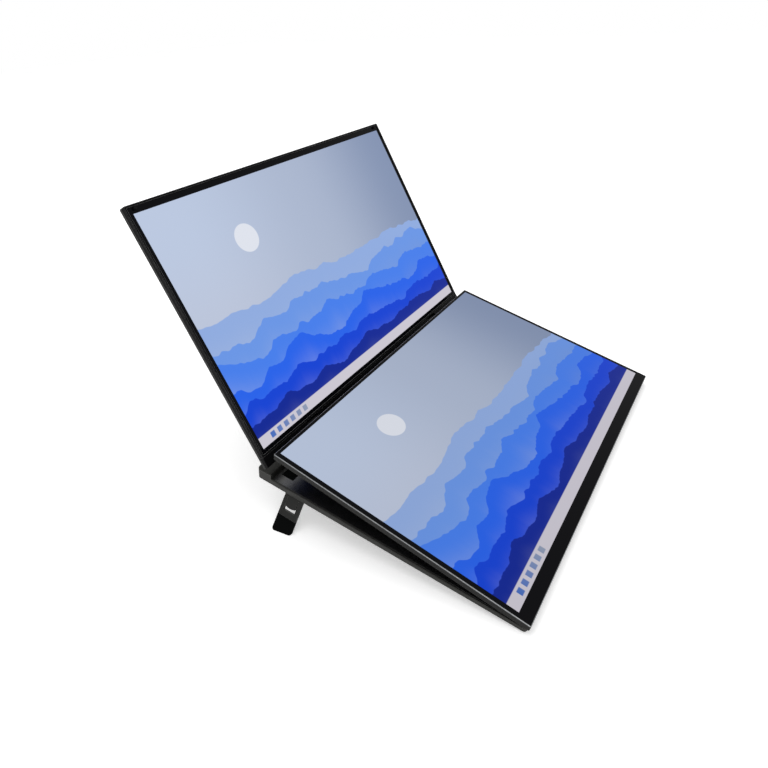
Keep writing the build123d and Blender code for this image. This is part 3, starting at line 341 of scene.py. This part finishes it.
def display_glass(name, cell, glow):
    """Polished, coated front glass: the lit picture in the middle, black print behind the border."""
    g = material(name)
    corner, turn, width, height = panel(cell)
    mapping = g.add("ShaderNodeMapping", vector_type="TEXTURE")
    g.feed(mapping.inputs["Vector"], g.place())
    mapping.inputs["Location"].default_value = corner
    mapping.inputs["Rotation"].default_value = (turn, 0, 0)
    mapping.inputs["Scale"].default_value = (width, height, 1)
    split = g.add("ShaderNodeSeparateXYZ")
    g.feed(split.inputs[0], mapping.outputs[0])
    across, up, _ = split.outputs
    lit = g.math("MULTIPLY", g.math("COMPARE", across, 0.5, 0.5), g.math("COMPARE", up, 0.5, 0.5))
    image = picture(g, g.math("MULTIPLY", across, ASPECT), up)
    smear = g.noise(g.place(), SMEARS, 5.0, 0.6)
    g.set(
        Base_Color=g.mix(lit, srgb(7, 7, 10), srgb(2, 2, 3)),
        Roughness=g.ramp(smear, 0.35, 0.75, 0.03, 0.09),
        Specular_IOR_Level=0.05,
        Emission_Color=g.mix(lit, (0, 0, 0, 1), image), Emission_Strength=glow,
    )
    return g


def cut_rim(name, cell):
    """Dark anodised rim whose slanted cut round the glass is left bright."""
    g = material(name)
    turn = panel(cell)[1]
    out = g.dot(g.add("ShaderNodeTexCoord").outputs["Normal"], (0, -math.sin(turn), math.cos(turn)))
    cut = inside(g, out, 0.3, 0.95, 0.05)
    lines = g.noise(g.stretch(g.place(), (0.06, 1.0, 1.0)), BRUSH_LINES, 3.0, 0.7)
    bright = g.mix(g.ramp(lines, NOISE_LOW, NOISE_HIGH), srgb(120, 122, 124), srgb(158, 160, 162))
    g.set(
        Base_Color=g.mix(cut, srgb(30, 30, 30), bright), Metallic=0.7, Specular_IOR_Level=0.3,
        Roughness=g.ramp(cut, 0.0, 1.0, 0.45, 0.3), Normal=g.bump(lines, 0.08, FINE_RELIEF),
    )
    return g


dress(display_glass("lower display", "screen_lcd_cell", LOWER_GLOW), "screen_glass")
dress(display_glass("upper display", "lid_lcd_cell", UPPER_GLOW), "lid_glass")
dress(cut_rim("cut rim", "screen_lcd_cell"), "screen_rim")
# The third colour given to each anodised metal is its painted edge highlight.
dress(anodised("dark anodised metal", srgb(41, 41, 39), srgb(51, 51, 49), srgb(120, 120, 118), 0.42),
      "base_shell", "rear_bar_cover")
dress(anodised("screen back metal", srgb(22, 22, 22), srgb(30, 30, 29), srgb(60, 60, 60), 0.45),
      "screen_back_cover")
dress(anodised("leg metal", srgb(38, 38, 37), srgb(47, 47, 46), srgb(100, 100, 98), 0.45),
      "foot_left_leg", "foot_right_leg")
dress(anodised("lid back metal", srgb(30, 30, 30), srgb(44, 44, 43), srgb(96, 96, 96), 0.4, metallic=0.5,
               gloss=0.12),
      "lid_back_cover")
dress(anodised("black frame metal", srgb(8, 8, 9), srgb(13, 13, 14), srgb(124, 124, 125), 0.5, metallic=0.2,
               gloss=0.04, round_over=FRAME_EDGE),
      "lid_front_frame")
dress(anodised("black foot metal", srgb(8, 8, 9), srgb(13, 13, 14), srgb(22, 22, 23), 0.5, metallic=0.2,
               gloss=0.04),
      "lid_barrel_left", "lid_barrel_middle", "lid_barrel_right")
dress(moulded("satin deck", srgb(11, 11, 12), srgb(17, 17, 18), 0.3, DECK_GRAIN, relief=0.1, gloss=0.9),
      "base_deck")
dress(moulded("black rubber", srgb(3, 4, 4), srgb(7, 8, 8), 0.75, gloss=0.03),
      "front_pads", "rear_pads", "foot_left_tip", "foot_right_tip", "deck_pads")
dress(moulded("bumper rubber", srgb(9, 9, 10), srgb(14, 14, 15), 0.6, gloss=0.05), "lid_bumpers")
dress(moulded("dark key plastic", srgb(26, 26, 26), srgb(36, 36, 36), 0.5),
      "power_button", "menu_button", "speaker_left", "speaker_right",
      "lift_shoe_left", "lift_shoe_right")
dress(anodised("black oxide steel", srgb(16, 16, 17), srgb(24, 24, 25), srgb(80, 80, 80), 0.36, metallic=0.8),
      "hinge_tower_left", "hinge_tower_right")
dress(brushed("hinge steel", srgb(150, 150, 150), srgb(190, 190, 188), 0.3, (0.08, 1.0, 1.0)),
      "lid_hinge_pin_left", "lid_hinge_pin_right", "front_hinge_pins", "arm_pivot_pins", "foot_pins",
      "lift_arm_left", "lift_arm_right", "base_screws", "screen_hinge_knuckles",
      "usb_c_ports", "mini_hdmi_port")
dress(board("circuit board"), "main_board", "screen_driver_board", "lid_driver_board", "key_board")
dress(moulded("panel cell", srgb(20, 20, 24), srgb(28, 28, 32), 0.2),
      "screen_lcd_cell", "lid_lcd_cell")
dress(moulded("light guide", srgb(214, 218, 224), srgb(228, 232, 236), 0.25),
      "screen_backlight", "lid_backlight")


def seen(g):
    """1 for the rays that look at the stage, straight or in a mirror or through glass, 0 for its light."""
    rays = g.add("ShaderNodeLightPath").outputs
    mirrored = g.math("MAXIMUM", rays["Is Glossy Ray"], rays["Is Transmission Ray"])
    return g.math("MAXIMUM", rays["Is Camera Ray"], mirrored)


def floor():
    """Plain pale floor under the object, which keeps the object's shadow."""
    mesh = bpy.data.meshes.new("floor")
    half = FLOOR_SIZE / 2
    corners = [(x, y, 0.0) for x, y in ((-half, -half), (half, -half), (half, half), (-half, half))]
    mesh.from_pydata(corners, [], [(0, 1, 2, 3)])
    obj = bpy.data.objects.new("floor", mesh)
    bpy.context.scene.collection.objects.link(obj)
    g = material("pale floor")
    tone = g.ramp(g.noise(g.place(), FLOOR_CLOUD, 3.0), NOISE_LOW, NOISE_HIGH)
    g.set(
        Base_Color=g.mix(tone, srgb(246, 246, 246), srgb(250, 250, 250)), Roughness=0.9,
        Specular_IOR_Level=0.1,
        Emission_Color=(1, 1, 1, 1), Emission_Strength=g.math("MULTIPLY", seen(g), FLOOR_GLOW),
    )
    mesh.materials.append(g.owner)


def lamp(name, place, aim, size, power):
    """Soft square lamp that points at a spot."""
    data = bpy.data.lights.new(name, "AREA")
    data.shape = "RECTANGLE"
    data.size, data.size_y = size
    data.energy = power
    obj = bpy.data.objects.new(name, data)
    obj.location = place
    obj.rotation_euler = (Vector(aim) - Vector(place)).to_track_quat("-Z", "Y").to_euler()
    bpy.context.scene.collection.objects.link(obj)


def world():
    """Even white light from all round, and a plain white background."""
    g = Graph(bpy.data.worlds.new("studio"))
    background = g.tree.nodes["Background"]
    background.inputs["Color"].default_value = (1.0, 1.0, 1.0, 1.0)
    g.feed(background.inputs["Strength"], g.ramp(seen(g), 0.0, 1.0, SKY_LIGHT, 1.0))
    bpy.context.scene.world = g.owner


def camera():
    data = bpy.data.cameras.new("photograph")
    data.lens = CAMERA_LENS
    data.sensor_width = CAMERA_SENSOR
    data.shift_x, data.shift_y = CAMERA_SHIFT
    data.clip_start = CAMERA_NEAR
    obj = bpy.data.objects.new("photograph", data)
    obj.location = CAMERA_PLACE
    obj.rotation_euler = [math.radians(a) for a in CAMERA_TURN]
    bpy.context.scene.collection.objects.link(obj)
    bpy.context.scene.camera = obj


floor()
world()
for values in LAMPS:
    lamp(*values)
camera()
bpy.context.scene.view_settings.view_transform = "Standard"
